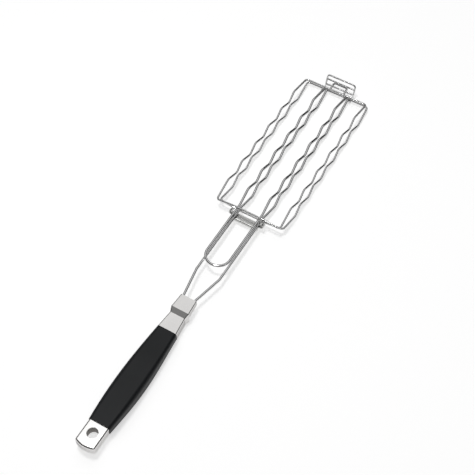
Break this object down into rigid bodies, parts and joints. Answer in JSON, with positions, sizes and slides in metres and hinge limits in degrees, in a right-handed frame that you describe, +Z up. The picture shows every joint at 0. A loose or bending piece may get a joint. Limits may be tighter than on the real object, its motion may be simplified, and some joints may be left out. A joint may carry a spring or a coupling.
{
  "type": "sausage grill basket",
  "caption": "Hinged wire basket with wavy bars that hold sausages over a grill, on a long flat handle with a soft grip, a sliding lock and a hanging hole.",
  "frame": {"origin": "under the middle of the whole length, on the surface that the grip's flat foot stands on", "axes": "+X from the handle's hanging hole to the basket's far end, +Y to the left across the basket, +Z up through the closed halves"},
  "size_m": [0.5402, 0.0883, 0.0305],
  "materials": {
    "rail_wire": "polished stainless rod, 3 mm",
    "frame_wire": "polished stainless wire, 2.4 mm",
    "hinge_wire": "polished stainless wire, 2 mm",
    "neck_sheet": "satin polished pressed sheet, 1 mm",
    "lock_sheet": "satin pressed strip, 1 mm",
    "tang_bar": "plain flat bar",
    "cap_sheet": "satin polished drawn sheet",
    "hole_sleeve": "dull, browned rolled tube",
    "grip_skin": "matt black moulded skin with a soft sheen"
  },
  "bodies": {
    "root": {"leg_left": "rail_wire", "leg_right": "rail_wire", "lower_rail_left": "rail_wire", "lower_rail_right": "rail_wire", "lower_frame": "frame_wire", "neck_bracket": "neck_sheet", "tang": "tang_bar", "grip": "grip_skin", "end_cap": "cap_sheet", "hang_sleeve": "hole_sleeve"},
    "ladder": {"ladder_loop": "hinge_wire", "ladder_rung_middle": "hinge_wire", "ladder_rung_low": "hinge_wire"},
    "lid": {"loop_wire": "rail_wire", "upper_frame": "frame_wire", "hinge_tab": "hinge_wire"},
    "lock": {"slide_lock": "lock_sheet"}
  },
  "joints": [
    {"name": "ladder_hinge", "type": "hinge", "parent": "root", "child": "ladder", "pos_m": [0.2572, 0, 0.0165], "axis": [0, 1, 0], "range_deg": [0, 95]},
    {"name": "lid_hinge", "type": "hinge", "parent": "ladder", "child": "lid", "pos_m": [0.2662, 0, 0.02055], "axis": [0, 1, 0], "range_deg": [0, 60]},
    {"name": "lock_slide", "type": "slide", "parent": "root", "child": "lock", "axis": [-1, 0, 0], "range_m": [0, 0.077]}
  ]
}
